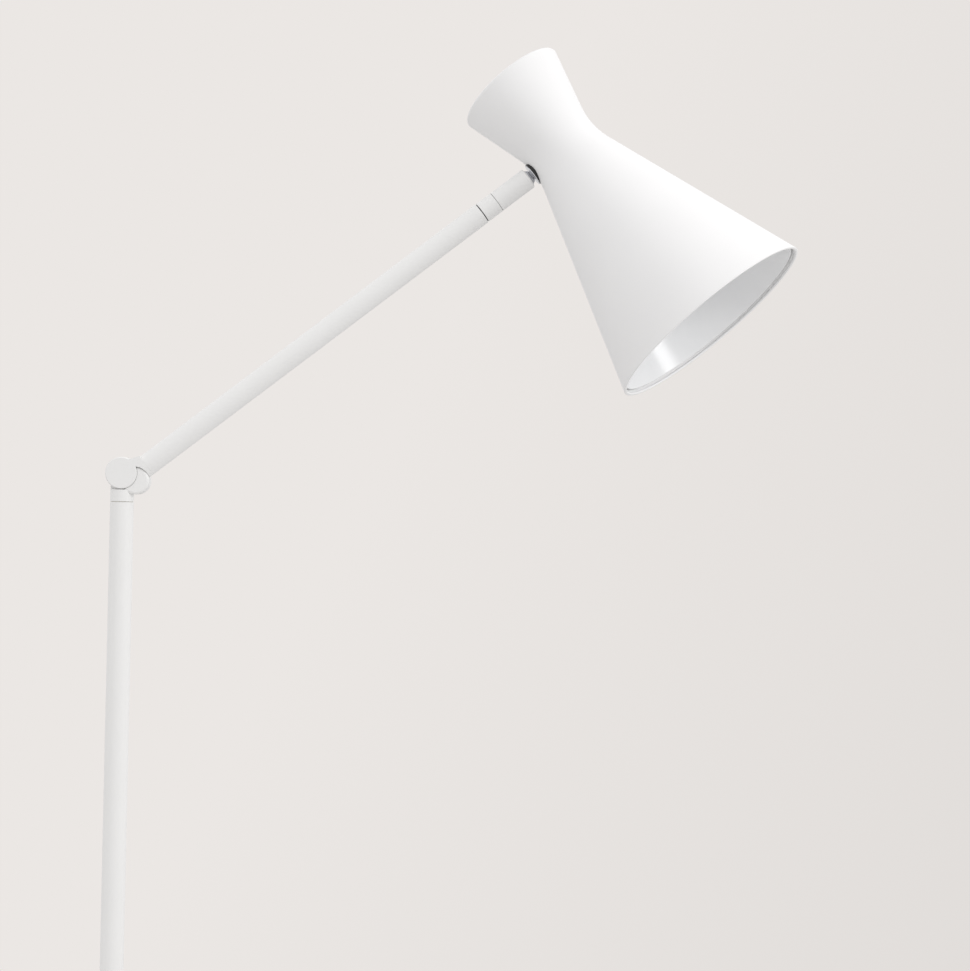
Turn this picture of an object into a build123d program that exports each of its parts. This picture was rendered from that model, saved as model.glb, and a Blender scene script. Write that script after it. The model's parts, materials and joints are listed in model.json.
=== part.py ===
"""Adjustable arm floor lamp.

A round weighted base carries a tube pole. On top of the pole an elbow turns about the
pole and lets a straight arm lift. At the arm's far end a ball joint in a turning
housing carries an hourglass shade with its liner and lampholder.

Millimetres. The origin is the centre of the base's underside, +Z is up, and the arm
reaches towards +X. Y points away from the side that the lamp is usually seen from.
"""
from build123d import *
from math import atan, cos, degrees, radians, sin, sqrt, tan
import os

os.makedirs("parts", exist_ok=True)

# ---------------------------------------------------------------- driving dimensions
# base
base_radius = 125.0
base_height = 22.0
cover_wall = 1.5
cover_edge_radius = 5.0
pad_thickness = 2.5
pad_inset = 4.0
floor_gap = 1.0
nut_pocket_radius = 15.0
nut_pocket_depth = 8.0

# pole
pole_radius = 9.5
pole_wall = 1.2
pole_top = 1040.0
pole_split = 531.0
plug_length = 22.0
nipple_radius = 5.0
nipple_bore_radius = 3.5
joiner_stud_radius = 6.0
joiner_bore_radius = 3.2
cord_inlet_rise = 34.0

# leads
pole_lead_radius = 2.2
arm_lead_radius = 1.8
lead_bore_radius = 2.6

# elbow
collar_height = 9.7
swivel_gap = 0.4
spigot_radius = 5.0
spigot_bore_radius = 3.0
coin_radius = 12.9
coin_gap = 0.5
coin_edge = 0.8
cheek_depth = 8.5
cheek_gap = 1.0
heel_radius = 11.1
heel_across = 11.4
heel_drop = 6.1
heel_front_inset = 1.0
heel_edge = 2.2
heel_gap = 0.2
elbow_screw_radius = 3.0
elbow_screw_head_radius = 5.2
elbow_screw_head = 4.0
arm_drop = 7.0

# arm
arm_elevation = 38.2
arm_radius = 9.0
arm_wall = 1.0
arm_start = 20.0
arm_end = 359.7
socket_plug_length = 22.0

# turning housing at the end of the arm
head_gap = 0.8
housing_step = 0.25
head_collar_length = 14.3
head_spigot_radius = 4.0
boss_radius = 6.4
boss_length = 8.0
housing_seam = 0.3
housing_length = 32.6
housing_end_radius = 1.8
ball_radius = 7.0
ball_depth = 2.5

# stem between the ball and the shade
head_roll = -10.2
head_lean = 2.0
stem_neck_radius = 4.0
flange_radius = 9.35
flange_start = 6.1
flange_thickness = 0.7
saddle_web = 0.35
saddle_edge = 0.25
stem_thread_radius = 5.0

# shade
corner_radius = 28.5
mouth_radius = 89.2
mouth_drop = 188.0
crown_radius = 46.9
crown_rise = 69.8
waist_blend = 64.0
shade_wall = 1.2
crown_edge = 2.2
liner_wall = 0.8
liner_gap = 2.0
liner_short = 3.5
bead_height = 2.0
bead_depth = 1.2

# lampholder
holder_radius = 19.5
holder_wall = 1.8
holder_top = -20.0
holder_length = 48.0
socket_radius = 13.4
socket_wall = 0.4
socket_length = 26.0
bracket_thickness = 1.5
bracket_width = 16.0

# fits
running_gap = 0.05
free_gap = 0.3
face_gap = 0.05

# ---------------------------------------------------------------- derived places
pole_bore = pole_radius - pole_wall
head_radius = arm_radius - housing_step
cord_inlet_height = base_height + cord_inlet_rise
collar_bottom = pole_top + swivel_gap
collar_top = collar_bottom + collar_height
pivot_height = collar_top + coin_gap + coin_radius
plug_bottom = pole_top - plug_length
arm_bore = arm_radius - arm_wall
elevation = radians(arm_elevation)

arm_direction = Vector(cos(elevation), 0, sin(elevation))
below_arm = Vector(sin(elevation), 0, -cos(elevation))
pivot = Vector(0, 0, pivot_height)
# foot of the pivot on the arm's axis: the axis runs below the pivot
arm_foot = pivot + below_arm * arm_drop
# arm frame: local Z runs along the arm, local X points below it
arm_frame = Plane(origin=arm_foot, x_dir=below_arm, z_dir=arm_direction)

collar_start = arm_end + head_gap
collar_end = collar_start + head_collar_length
housing_start = collar_end + housing_seam
housing_end = housing_start + housing_length
ball_place = housing_end - ball_depth
ball_centre = arm_foot + arm_direction * ball_place

# shade axis: square to the arm, rolled about it towards the viewer, then leaned outwards
roll = radians(head_roll)
lean = radians(head_lean)
square_to_arm = below_arm * cos(roll) + Vector(0, 1, 0) * sin(roll)
shade_axis = square_to_arm * cos(lean) + arm_direction * sin(lean)
stem_axis = arm_direction * cos(lean) - square_to_arm * sin(lean)
# stem frame: local Z runs from the ball to the shade, local X towards the shade's mouth
stem_frame = Plane(origin=ball_centre, x_dir=shade_axis, z_dir=stem_axis)

# both of the shade's cones run to a virtual corner, and an arc blends them at the waist
lower_slope = (mouth_radius - corner_radius) / mouth_drop
upper_slope = (crown_radius - corner_radius) / crown_rise
lower_angle = atan(lower_slope)
upper_angle = atan(upper_slope)
blend_run = waist_blend * tan((lower_angle + upper_angle) / 2)
blend_top = -blend_run * cos(upper_angle)
blend_bottom = blend_run * cos(lower_angle)
arc_height = blend_top + waist_blend * sin(upper_angle)
arc_radius = corner_radius - upper_slope * blend_top + waist_blend * cos(upper_angle)


def shade_radius(height):
    """The shade's outer radius at a height on its own axis."""
    if height < blend_top:
        return corner_radius - upper_slope * height
    if height > blend_bottom:
        return corner_radius + lower_slope * height
    return arc_radius - sqrt(waist_blend ** 2 - (height - arc_height) ** 2)


flange_end = flange_start + flange_thickness
saddle_radius = flange_radius + saddle_edge
# the saddle's thinnest places are where the shade swells towards it, above and below
swell = max(shade_radius(saddle_radius), shade_radius(-saddle_radius))
waist_place = flange_end + saddle_web + swell
shade_wall_place = waist_place - shade_radius(0)
waist_centre = ball_centre + stem_axis * waist_place
# shade frame: local Z runs to the mouth, local X away from the stem
shade_frame = Plane(origin=waist_centre, x_dir=stem_axis, z_dir=shade_axis)


def section(frame):
    """Plane through a frame's axis, with radius along local X and height along local Y."""
    return Plane(origin=frame.origin, x_dir=frame.x_dir, z_dir=-frame.y_dir)


def centre_line(frame):
    """The axis that a frame's turned pieces are revolved about."""
    return Axis(frame.origin, frame.z_dir)


def elbow_plane(depth):
    """Plane across the elbow at a depth along Y. Extrusions from it come towards -Y."""
    return Plane(origin=pivot + Vector(0, depth, 0), x_dir=(1, 0, 0), z_dir=(0, -1, 0))


def save(part, label):
    """Label a finished piece and write its STEP file."""
    part.label = label
    export_step(part, f"parts/{label}.step")


# ================================================================ base
weight_top = base_height - cover_wall
cover_bore = base_radius - cover_wall

# pressed steel cover, open below, over the weight
with BuildPart() as base_cover:
    with BuildSketch(Plane.XY.offset(floor_gap)):
        Circle(base_radius)
    extrude(amount=base_height - floor_gap)
    fillet(base_cover.faces().sort_by(Axis.Z)[-1].edges(), radius=cover_edge_radius)
    offset(amount=-cover_wall, openings=base_cover.faces().sort_by(Axis.Z)[0])
    with BuildSketch(Plane.XY.offset(base_height)):
        Circle(nipple_radius + free_gap)
    extrude(amount=-2 * cover_wall, mode=Mode.SUBTRACT)
save(base_cover.part, "base_cover")

# cast iron weight, with a pocket below for the nut
with BuildPart() as base_weight:
    with BuildSketch(Plane.XY.offset(pad_thickness)):
        Circle(cover_bore - free_gap)
    extrude(amount=weight_top - pad_thickness)
    fillet(base_weight.faces().sort_by(Axis.Z)[-1].edges(), radius=cover_edge_radius)
    with BuildSketch(Plane.XY.offset(pad_thickness)):
        Circle(nut_pocket_radius)
    extrude(amount=nut_pocket_depth, mode=Mode.SUBTRACT)
    with BuildSketch(Plane.XY.offset(pad_thickness)):
        Circle(nipple_radius + free_gap)
    extrude(amount=base_height, mode=Mode.SUBTRACT)
save(base_weight.part, "base_weight")

# soft pad that the lamp stands on
with BuildPart() as base_pad:
    with BuildSketch():
        Circle(base_radius - pad_inset)
    extrude(amount=pad_thickness)
    fillet(base_pad.faces().sort_by(Axis.Z)[0].edges(), radius=0.6)
save(base_pad.part, "base_pad")

pocket_roof = pad_thickness + nut_pocket_depth
washer_thickness = 1.5
nut_thickness = 4.0

with BuildPart() as base_washer:
    with BuildSketch(Plane.XY.offset(pocket_roof - washer_thickness)):
        Circle(nut_pocket_radius - 2.0)
        Circle(nipple_radius + free_gap, mode=Mode.SUBTRACT)
    extrude(amount=washer_thickness)
save(base_washer.part, "base_washer")

with BuildPart() as base_nut:
    with BuildSketch(Plane.XY.offset(pocket_roof - washer_thickness - nut_thickness)):
        RegularPolygon(radius=8.5, side_count=6)
        Circle(nipple_radius, mode=Mode.SUBTRACT)
    extrude(amount=nut_thickness)
    chamfer(base_nut.faces().sort_by(Axis.Z)[0].outer_wire().edges(), length=0.5)
save(base_nut.part, "base_nut")

# threaded tube that ties the pole's foot to the weight
nipple_bottom = pocket_roof - washer_thickness - nut_thickness - 0.5
nipple_top = base_height + 14.0

with BuildPart() as foot_nipple:
    with BuildSketch(Plane.XY.offset(nipple_bottom)):
        Circle(nipple_radius)
        Circle(nipple_bore_radius, mode=Mode.SUBTRACT)
    extrude(amount=nipple_top - nipple_bottom)
save(foot_nipple.part, "foot_nipple")

# ================================================================ pole
foot_plug_length = 18.0

with BuildPart() as foot_plug:
    with BuildSketch(Plane.XY.offset(base_height)):
        Circle(pole_bore)
        Circle(nipple_radius, mode=Mode.SUBTRACT)
    extrude(amount=foot_plug_length)
save(foot_plug.part, "foot_plug")

bush_neck_radius = 4.2

with BuildPart() as pole_lower:
    with BuildSketch(Plane.XY.offset(base_height)):
        Circle(pole_radius)
        Circle(pole_bore, mode=Mode.SUBTRACT)
    extrude(amount=pole_split - base_height)
    with BuildSketch(Plane(origin=(0, 0, cord_inlet_height), x_dir=(0, 1, 0), z_dir=(-1, 0, 0))):
        Circle(bush_neck_radius)
    extrude(amount=pole_radius + 1.0, mode=Mode.SUBTRACT)
save(pole_lower.part, "pole_lower")

with BuildPart() as pole_upper:
    with BuildSketch(Plane.XY.offset(pole_split)):
        Circle(pole_radius)
        Circle(pole_bore, mode=Mode.SUBTRACT)
    extrude(amount=pole_top - pole_split)
save(pole_upper.part, "pole_upper")

# rubber bush where the mains cord enters the pole, behind the lamp
bush_flange_radius = 6.5
bush_reach = pole_radius + 7.0
bush_plane = Plane(origin=(0, 0, cord_inlet_height), x_dir=(0, 1, 0), z_dir=(-1, 0, 0))

with BuildPart() as cord_bush:
    with BuildSketch(bush_plane.offset(pole_radius - 3.0)):
        Circle(bush_flange_radius)
    extrude(amount=5.0)
    with BuildSketch():
        Circle(pole_radius)
    extrude(amount=2 * cord_inlet_height, mode=Mode.SUBTRACT)
    with BuildSketch(bush_plane.offset(pole_bore - 0.5)):
        Circle(bush_neck_radius)
    extrude(amount=bush_reach - pole_bore + 0.5)
    fillet(cord_bush.faces().sort_by(Axis.X)[0].edges(), radius=0.8)
    with BuildSketch(bush_plane):
        Circle(pole_lead_radius + 0.1)
    extrude(amount=bush_reach + 1.0, mode=Mode.SUBTRACT)
save(cord_bush.part, "cord_bush")

# the two lengths of pole screw together through a socket and a stud
joiner_length = 24.0
stud_length = 16.0

with BuildPart() as joiner_socket:
    with BuildSketch(Plane.XY.offset(pole_split - joiner_length)):
        Circle(pole_bore)
        Circle(joiner_stud_radius, mode=Mode.SUBTRACT)
    extrude(amount=joiner_length)
save(joiner_socket.part, "joiner_socket")

with BuildPart() as joiner_stud:
    with BuildSketch(Plane.XY.offset(pole_split)):
        Circle(pole_bore)
    extrude(amount=joiner_length)
    with BuildSketch(Plane.XY.offset(pole_split)):
        Circle(joiner_stud_radius)
    extrude(amount=-stud_length)
    with BuildSketch(Plane.XY.offset(pole_split - stud_length)):
        Circle(joiner_bore_radius)
    extrude(amount=stud_length + joiner_length, mode=Mode.SUBTRACT)
save(joiner_stud.part, "joiner_stud")

# swivel bearing in the pole's top, with a groove that stops the elbow's pin
groove_radius = (spigot_radius + pole_bore) / 2
stop_pin_radius = 0.9
groove_half_width = stop_pin_radius + 0.15
groove_depth = 3.2
stop_pin_reach = 2.6
stop_block_angle = 20.0
bearing_radius = spigot_radius + running_gap

with BuildPart() as pole_bearing:
    with BuildSketch(Plane.XY.offset(plug_bottom)):
        Circle(pole_bore)
        Circle(bearing_radius, mode=Mode.SUBTRACT)
    extrude(amount=plug_length)
    with BuildSketch(Plane.XZ):
        with Locations((groove_radius, pole_top - groove_depth / 2)):
            Rectangle(2 * groove_half_width, groove_depth)
    revolve(axis=Axis.Z, revolution_arc=360 - stop_block_angle, mode=Mode.SUBTRACT)
save(pole_bearing.part, "pole_bearing")

# dark ring that shows as the seam under the elbow's collar
with BuildPart() as swivel_ring:
    with BuildSketch(Plane.XY.offset(pole_top)):
        Circle(pole_radius - 0.5)
        Circle(groove_radius + groove_half_width + 0.1, mode=Mode.SUBTRACT)
    extrude(amount=swivel_gap - face_gap)
save(swivel_ring.part, "swivel_ring")

# mains lead from the bush up to the swivel
pole_lead_bend = 13.4
lead_wall_place = pole_bore - pole_lead_radius - free_gap
pole_lead_end = plug_bottom - 14.0

with BuildPart() as pole_lead:
    with BuildLine(Plane.XZ) as pole_lead_path:
        FilletPolyline(
            (-bush_reach + 2.0, cord_inlet_height),
            (lead_wall_place, cord_inlet_height),
            (lead_wall_place, cord_inlet_height + 60.0),
            (0, cord_inlet_height + 120.0),
            (0, pole_lead_end),
            radius=pole_lead_bend,
        )
    with BuildSketch(Plane(origin=(-bush_reach + 2.0, 0, cord_inlet_height), z_dir=(1, 0, 0))):
        Circle(pole_lead_radius)
    sweep(path=pole_lead_path.line)
save(pole_lead.part, "pole_lead")

# ================================================================ elbow, on the pole
thrust_washer = 1.2
spigot_bottom = plug_bottom - thrust_washer - nut_thickness - 1.0
cheek_front = cheek_gap / 2
cheek_back = cheek_front + cheek_depth
heel_centre = pivot + Vector(heel_across, 0, -heel_drop)
heel_front = heel_front_inset - cheek_back
coin_clearance = coin_radius + coin_gap
elbow_head_seat = cheek_back - elbow_screw_head - 1.8
# the lead climbs from the spigot, through the heel, into the arm
lead_turn = Vector(0, 0, collar_top - 4.0)
lead_mouth = arm_foot + arm_direction * 15.0
lead_climb = lead_mouth - lead_turn

# round heel that the arm comes to rest on, with a softened front and back
with BuildPart() as heel:
    with BuildSketch(elbow_plane(cheek_back)):
        with Locations((heel_across, -heel_drop)):
            Circle(heel_radius)
    extrude(amount=cheek_back - heel_front)
    fillet(heel.edges().filter_by(GeomType.CIRCLE), radius=heel_edge)
    with BuildSketch(elbow_plane(cheek_front)):
        Circle(coin_radius + heel_gap)
    extrude(amount=3 * cheek_depth, mode=Mode.SUBTRACT)

with BuildPart() as elbow_base:
    with BuildSketch(Plane.XY.offset(collar_bottom)):
        Circle(pole_radius)
    extrude(amount=collar_height)
    # cheek behind the mid-plane, its neck down to the collar, and the round heel
    with BuildSketch(elbow_plane(cheek_back)):
        Circle(coin_radius)
    extrude(amount=cheek_depth)
    with BuildSketch(Plane.XY.offset(collar_top)):
        Circle(pole_radius)
        with Locations((0, cheek_front / 2 - pole_radius / 2)):
            Rectangle(2 * pole_radius, pole_radius + cheek_front, mode=Mode.SUBTRACT)
        with Locations((0, cheek_back + pole_radius)):
            Rectangle(2 * pole_radius, 2 * pole_radius, mode=Mode.SUBTRACT)
    extrude(amount=coin_gap + coin_radius)
    with BuildSketch(elbow_plane(cheek_front)):
        Circle(coin_clearance)
    extrude(amount=3 * cheek_depth, mode=Mode.SUBTRACT)
    # the heel stands close beside the coin, over the collar's edge
    add(heel.part)
    with BuildSketch(Plane.XY.offset(spigot_bottom)):
        Circle(spigot_radius)
    extrude(amount=collar_bottom - spigot_bottom)
    # bores: spigot, lead, screw and its head
    with BuildSketch(Plane.XY.offset(spigot_bottom)):
        Circle(spigot_bore_radius)
    extrude(amount=collar_top - 4.0 - spigot_bottom, mode=Mode.SUBTRACT)
    with BuildSketch(Plane(origin=lead_turn, z_dir=lead_climb)):
        Circle(lead_bore_radius)
    extrude(amount=lead_climb.length, mode=Mode.SUBTRACT)
    with BuildSketch(elbow_plane(cheek_back)):
        Circle(elbow_screw_radius + running_gap)
    extrude(amount=cheek_depth, mode=Mode.SUBTRACT)
    with BuildSketch(elbow_plane(cheek_back)):
        Circle(elbow_screw_head_radius + 0.8)
    extrude(amount=cheek_back - elbow_head_seat, mode=Mode.SUBTRACT)
save(elbow_base.part, "elbow_base")

pin_turn = radians(180 - stop_block_angle / 2)

with BuildPart() as swivel_stop_pin:
    with BuildSketch(Plane.XY.offset(pole_top - stop_pin_reach)):
        with Locations((groove_radius * cos(pin_turn), groove_radius * sin(pin_turn))):
            Circle(stop_pin_radius)
    extrude(amount=collar_bottom - pole_top + stop_pin_reach)
save(swivel_stop_pin.part, "swivel_stop_pin")

with BuildPart() as swivel_washer:
    with BuildSketch(Plane.XY.offset(plug_bottom - thrust_washer)):
        Circle(pole_bore - 0.8)
        Circle(spigot_radius, mode=Mode.SUBTRACT)
    extrude(amount=thrust_washer - face_gap)
save(swivel_washer.part, "swivel_washer")

with BuildPart() as swivel_nut:
    with BuildSketch(Plane.XY.offset(plug_bottom - thrust_washer - nut_thickness)):
        RegularPolygon(radius=pole_bore - 0.9, side_count=6)
        Circle(spigot_radius, mode=Mode.SUBTRACT)
    extrude(amount=nut_thickness)
save(swivel_nut.part, "swivel_nut")

# friction disc between the two halves
with BuildPart() as friction_washer:
    with BuildSketch(elbow_plane(cheek_front - face_gap)):
        Circle(coin_radius - 1.2)
        Circle(elbow_screw_radius + 0.2, mode=Mode.SUBTRACT)
    extrude(amount=cheek_gap - 2 * face_gap)
save(friction_washer.part, "friction_washer")

# cap over the screw's head, at the back
cap_thickness = 1.2

with BuildPart() as elbow_cap:
    with BuildSketch(elbow_plane(cheek_back + 0.4)):
        Circle(elbow_screw_head_radius + 0.75)
    extrude(amount=cap_thickness)
    fillet(elbow_cap.faces().sort_by(Axis.Y)[-1].edges(), radius=0.5)
save(elbow_cap.part, "elbow_cap")

# ================================================================ elbow, on the arm
seat_radius = heel_radius + heel_gap
screw_hole_depth = 6.0
arm_section = section(arm_frame)
heel_on_arm = arm_frame.to_local_coords(heel_centre)
arm_lead_start = heel_on_arm.Z + seat_radius + 1.2

with BuildPart() as elbow_arm:
    # socket end, as wide as the arm
    with BuildSketch(arm_frame):
        Circle(arm_radius)
    extrude(amount=arm_start)
    # bridge from the socket to the coin, in front of the mid-plane
    with BuildSketch(elbow_plane(-cheek_front)):
        with BuildLine():
            bridge_low = arm_direction * arm_start + below_arm * arm_drop
            bridge_high = arm_direction * arm_start - below_arm * (arm_radius - arm_drop)
            Polyline(
                (0, 0),
                (bridge_low.X, bridge_low.Z),
                (bridge_high.X, bridge_high.Z),
                (-below_arm.X * coin_radius * 0.7, -below_arm.Z * coin_radius * 0.7),
                close=True,
            )
        make_face()
    extrude(amount=cheek_depth)
    # seat that goes round the heel, and clearance round the cheek behind
    with BuildSketch(elbow_plane(2 * arm_radius)):
        with Locations((heel_across, -heel_drop)):
            Circle(seat_radius)
    extrude(amount=4 * arm_radius, mode=Mode.SUBTRACT)
    with BuildSketch(elbow_plane(2 * arm_radius)):
        Circle(coin_clearance)
    extrude(amount=2 * arm_radius + cheek_front, mode=Mode.SUBTRACT)
    # coin in front
    with BuildSketch(elbow_plane(-cheek_front)):
        Circle(coin_radius)
    extrude(amount=cheek_depth - coin_edge)
    with BuildSketch(elbow_plane(-cheek_front - cheek_depth + coin_edge)):
        Circle(coin_radius)
    extrude(amount=coin_edge, taper=40)
    # plug that is glued into the arm, and the bores for lead and screw
    with BuildSketch(arm_frame.offset(arm_start)):
        Circle(arm_bore)
    extrude(amount=socket_plug_length)
    with BuildSketch(arm_frame):
        Circle(lead_bore_radius)
    extrude(amount=arm_start + socket_plug_length, mode=Mode.SUBTRACT)
    with BuildSketch(elbow_plane(-cheek_front)):
        Circle(elbow_screw_radius)
    extrude(amount=screw_hole_depth, mode=Mode.SUBTRACT)
save(elbow_arm.part, "elbow_arm")

spring_washer_thickness = 1.0
screw_head_bottom = elbow_head_seat + spring_washer_thickness + face_gap

with BuildPart() as elbow_screw:
    with BuildSketch(elbow_plane(screw_head_bottom + elbow_screw_head - 0.4)):
        Circle(elbow_screw_head_radius)
    extrude(amount=elbow_screw_head - 0.4)
    with BuildSketch(elbow_plane(screw_head_bottom)):
        Circle(elbow_screw_radius)
    extrude(amount=screw_head_bottom + cheek_front + screw_hole_depth - 0.5)
    with BuildSketch(elbow_plane(screw_head_bottom + elbow_screw_head - 0.4)):
        RegularPolygon(radius=2.9, side_count=6)
    extrude(amount=2.2, mode=Mode.SUBTRACT)
save(elbow_screw.part, "elbow_screw")

with BuildPart() as elbow_spring_washer:
    with BuildSketch(elbow_plane(elbow_head_seat + spring_washer_thickness + face_gap)):
        Circle(elbow_screw_head_radius)
        Circle(elbow_screw_radius + 0.1, mode=Mode.SUBTRACT)
    extrude(amount=spring_washer_thickness)
save(elbow_spring_washer.part, "elbow_spring_washer")

# ================================================================ arm
with BuildPart() as arm_tube:
    with BuildSketch(arm_frame.offset(arm_start)):
        Circle(arm_radius)
        Circle(arm_bore, mode=Mode.SUBTRACT)
    extrude(amount=arm_end - arm_start)
save(arm_tube.part, "arm_tube")

arm_bearing_length = 20.0
arm_bearing_start = arm_end - arm_bearing_length
head_pin_radius = 0.7
head_groove_radius = (head_spigot_radius + arm_bore) / 2
head_groove_half_width = head_pin_radius + 0.15

with BuildPart() as arm_bearing:
    with BuildSketch(arm_frame.offset(arm_bearing_start)):
        Circle(arm_bore)
        Circle(head_spigot_radius + running_gap, mode=Mode.SUBTRACT)
    extrude(amount=arm_bearing_length)
    with BuildSketch(section(arm_frame)):
        with Locations((head_groove_radius, arm_end - groove_depth / 2)):
            Rectangle(2 * head_groove_half_width, groove_depth)
    revolve(
        axis=centre_line(arm_frame),
        revolution_arc=360 - stop_block_angle,
        mode=Mode.SUBTRACT,
    )
save(arm_bearing.part, "arm_bearing")

with BuildPart() as arm_lead:
    with BuildSketch(arm_frame.offset(arm_lead_start)):
        Circle(arm_lead_radius)
    extrude(amount=arm_bearing_start - 16.0 - arm_lead_start)
save(arm_lead.part, "arm_lead")

# ================================================================ turning housing
head_nut_thickness = 4.0
head_spigot_start = arm_bearing_start - thrust_washer - head_nut_thickness - 1.0

with BuildPart() as head_collar:
    with BuildSketch(arm_frame.offset(collar_start)):
        Circle(head_radius)
    extrude(amount=head_collar_length)
    chamfer(head_collar.edges().filter_by(GeomType.CIRCLE), length=0.25)
    with BuildSketch(arm_frame.offset(head_spigot_start)):
        Circle(head_spigot_radius)
    extrude(amount=collar_start - head_spigot_start)
    with BuildSketch(arm_frame.offset(collar_end)):
        Circle(boss_radius)
    extrude(amount=boss_length)
    with BuildSketch(arm_frame.offset(head_spigot_start)):
        Circle(lead_bore_radius)
    extrude(amount=collar_end + boss_length - head_spigot_start, mode=Mode.SUBTRACT)
save(head_collar.part, "head_collar")

with BuildPart() as head_stop_pin:
    with BuildSketch(arm_frame.offset(arm_end - stop_pin_reach)):
        with Locations((head_groove_radius * cos(pin_turn), head_groove_radius * sin(pin_turn))):
            Circle(head_pin_radius)
    extrude(amount=head_gap + stop_pin_reach)
save(head_stop_pin.part, "head_stop_pin")

with BuildPart() as head_ring:
    with BuildSketch(arm_frame.offset(arm_end + face_gap)):
        Circle(head_radius - 0.8)
        Circle(head_groove_radius + head_groove_half_width + 0.1, mode=Mode.SUBTRACT)
    extrude(amount=head_gap - face_gap)
save(head_ring.part, "head_ring")

with BuildPart() as head_washer:
    with BuildSketch(arm_frame.offset(arm_bearing_start - thrust_washer)):
        Circle(arm_bore - 0.8)
        Circle(head_spigot_radius, mode=Mode.SUBTRACT)
    extrude(amount=thrust_washer - face_gap)
save(head_washer.part, "head_washer")

with BuildPart() as head_nut:
    with BuildSketch(arm_frame.offset(arm_bearing_start - thrust_washer - head_nut_thickness)):
        RegularPolygon(radius=arm_bore - 1.2, side_count=6)
        Circle(head_spigot_radius, mode=Mode.SUBTRACT)
    extrude(amount=head_nut_thickness)
save(head_nut.part, "head_nut")

# tube that holds the ball behind its rounded, slightly closed end
cup_radius = ball_radius + running_gap
boss_end = collar_end + boss_length

with BuildPart() as ball_housing:
    with BuildSketch(arm_frame.offset(housing_start)):
        Circle(head_radius)
    extrude(amount=housing_length)
    fillet(ball_housing.edges().filter_by(GeomType.CIRCLE).sort_by(centre_line(arm_frame))[-1],
           radius=housing_end_radius)
    with BuildSketch(arm_frame.offset(housing_start)):
        Circle(boss_radius)
    extrude(amount=boss_end - housing_start, mode=Mode.SUBTRACT)
    with BuildSketch(arm_frame.offset(boss_end)):
        Circle(cup_radius)
    extrude(amount=ball_place - boss_end, mode=Mode.SUBTRACT)
    with Locations(ball_centre):
        Sphere(cup_radius, mode=Mode.SUBTRACT)
save(ball_housing.part, "ball_housing")

# nylon seat that presses on the ball from behind
seat_length = 7.0
seat_front = ball_place - 2.2
seat_hole_radius = 3.6

with BuildPart() as ball_seat:
    with BuildSketch(arm_frame.offset(seat_front - seat_length)):
        Circle(cup_radius - 0.1)
        Circle(seat_hole_radius, mode=Mode.SUBTRACT)
    extrude(amount=seat_length)
    with Locations(ball_centre):
        Sphere(ball_radius + 0.08, mode=Mode.SUBTRACT)
save(ball_seat.part, "ball_seat")

# stack of disc springs between the boss and the seat
spring_room = seat_front - seat_length - boss_end
spring_count = 4
spring_pitch = spring_room / spring_count
spring_thickness = 0.6

with BuildPart() as seat_springs:
    with BuildSketch(arm_section):
        for turn in range(spring_count):
            low = boss_end + turn * spring_pitch
            rise = spring_pitch - spring_thickness
            foot = low + rise * (turn % 2)
            tip = low + rise * (1 - turn % 2)
            with BuildLine():
                Polyline(
                    (seat_hole_radius, foot),
                    (cup_radius - 0.3, tip),
                    (cup_radius - 0.3, tip + spring_thickness),
                    (seat_hole_radius, foot + spring_thickness),
                    close=True,
                )
            make_face()
    revolve(axis=centre_line(arm_frame))
save(seat_springs.part, "seat_springs")

with BuildPart() as housing_lead:
    with BuildSketch(arm_frame.offset(head_spigot_start + 2.0)):
        Circle(arm_lead_radius)
    extrude(amount=ball_place - ball_radius - head_spigot_start - 3.0)
save(housing_lead.part, "housing_lead")

# ================================================================ shade
def shade_profile(inset, crown_inset, drop):
    """Half section of the shade, moved in by a wall, closed on its axis."""
    lower_shift = inset / cos(lower_angle)
    upper_shift = inset / cos(upper_angle)
    crown_height = -crown_rise + crown_inset
    corner_height = (lower_shift - upper_shift) / (lower_slope + upper_slope)
    corner = corner_radius + lower_slope * corner_height - lower_shift
    outline = FilletPolyline(
        (corner_radius - upper_slope * crown_height - upper_shift, crown_height),
        (corner, corner_height),
        (corner_radius + lower_slope * drop - lower_shift, drop),
        radius=waist_blend + inset,
    )
    Polyline(outline @ 1, (0, drop), (0, crown_height), outline @ 0)


with BuildPart() as shade_outside:
    with BuildSketch(section(shade_frame)):
        with BuildLine():
            shade_profile(0, 0, mouth_drop)
        make_face()
    revolve(axis=centre_line(shade_frame))
    fillet(shade_outside.edges().filter_by(GeomType.CIRCLE).sort_by(centre_line(shade_frame))[0],
           radius=crown_edge)

with BuildPart() as shade_inside:
    with BuildSketch(section(shade_frame)):
        with BuildLine():
            shade_profile(shade_wall, shade_wall, mouth_drop + 1.0)
        make_face()
    revolve(axis=centre_line(shade_frame))
    fillet(shade_inside.edges().filter_by(GeomType.CIRCLE).sort_by(centre_line(shade_frame))[0],
           radius=crown_edge - shade_wall)

# spun aluminium shade in one piece, closed at the crown
with BuildPart() as shade_shell:
    add(shade_outside.part)
    add(shade_inside.part, mode=Mode.SUBTRACT)
    with BuildSketch(stem_frame.offset(shade_wall_place - 2.0)):
        Circle(stem_thread_radius + 0.1)
    extrude(amount=8.0, mode=Mode.SUBTRACT)
    # the edge of the mouth is turned in to a bead, under the liner's end
    with BuildSketch(section(shade_frame)):
        with BuildLine():
            bead_foot = mouth_radius - shade_wall / cos(lower_angle)
            bead_head = bead_foot - lower_slope * bead_height
            Polyline(
                (bead_foot + shade_wall / 2, mouth_drop),
                (bead_foot - bead_depth, mouth_drop),
                (bead_head - bead_depth, mouth_drop - bead_height),
                (bead_head + shade_wall / 2, mouth_drop - bead_height),
                close=True,
            )
        make_face()
    revolve(axis=centre_line(shade_frame))
save(shade_shell.part, "shade_shell")

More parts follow.
